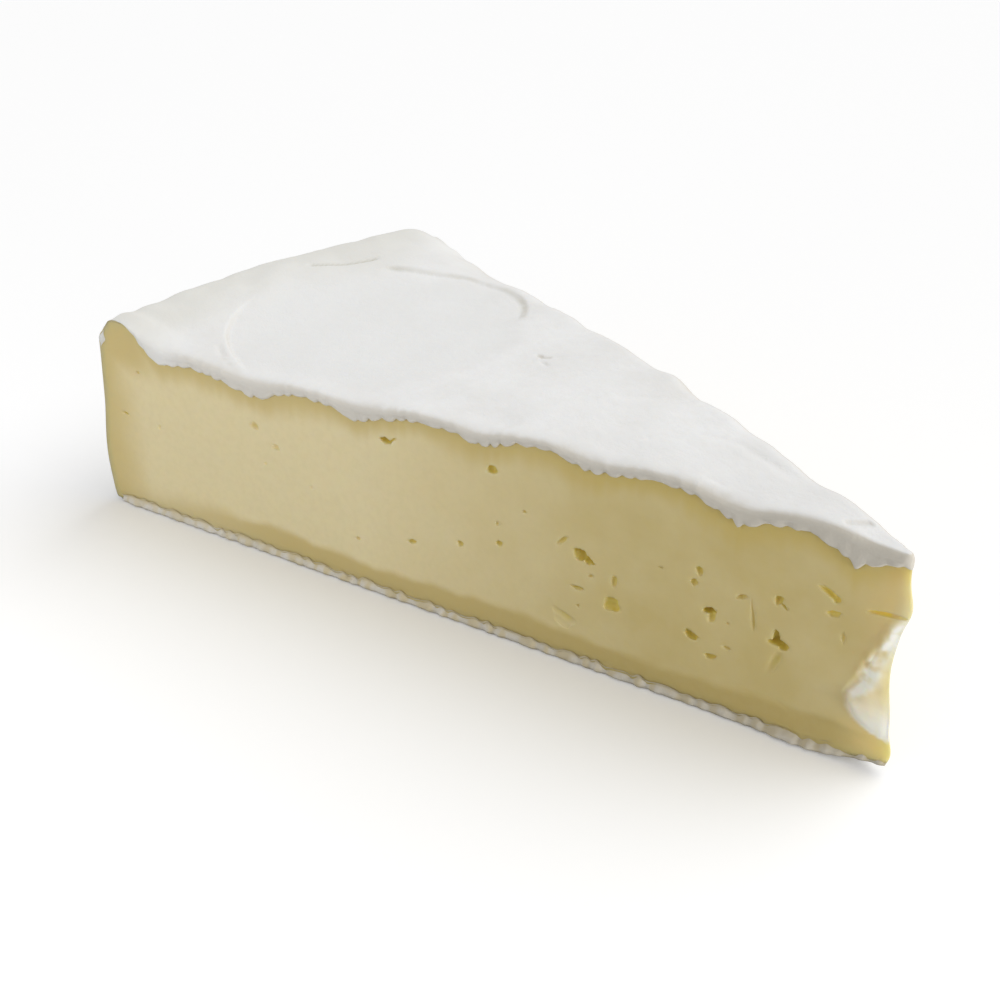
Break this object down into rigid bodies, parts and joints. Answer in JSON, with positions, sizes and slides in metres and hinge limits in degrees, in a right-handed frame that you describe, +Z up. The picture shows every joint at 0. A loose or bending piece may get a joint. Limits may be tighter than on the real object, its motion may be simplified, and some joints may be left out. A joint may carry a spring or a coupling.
{
  "type": "double cream brie",
  "caption": "Wedge of double cream brie with a white rind over a pale, soft, eyed inside, resting on its bottom rind.",
  "frame": {"origin": "centre of the bounding box, on the bottom face that the wedge rests on", "axes": "+X along the wedge to its tip, +Y towards the back cut, +Z up"},
  "size_m": [0.131, 0.0674, 0.0338],
  "materials": {
    "brie_wedge": "soft, slightly moist ivory paste under a matt white rind"
  },
  "bodies": {
    "root": {"brie_wedge": "brie_wedge"}
  },
  "joints": []
}
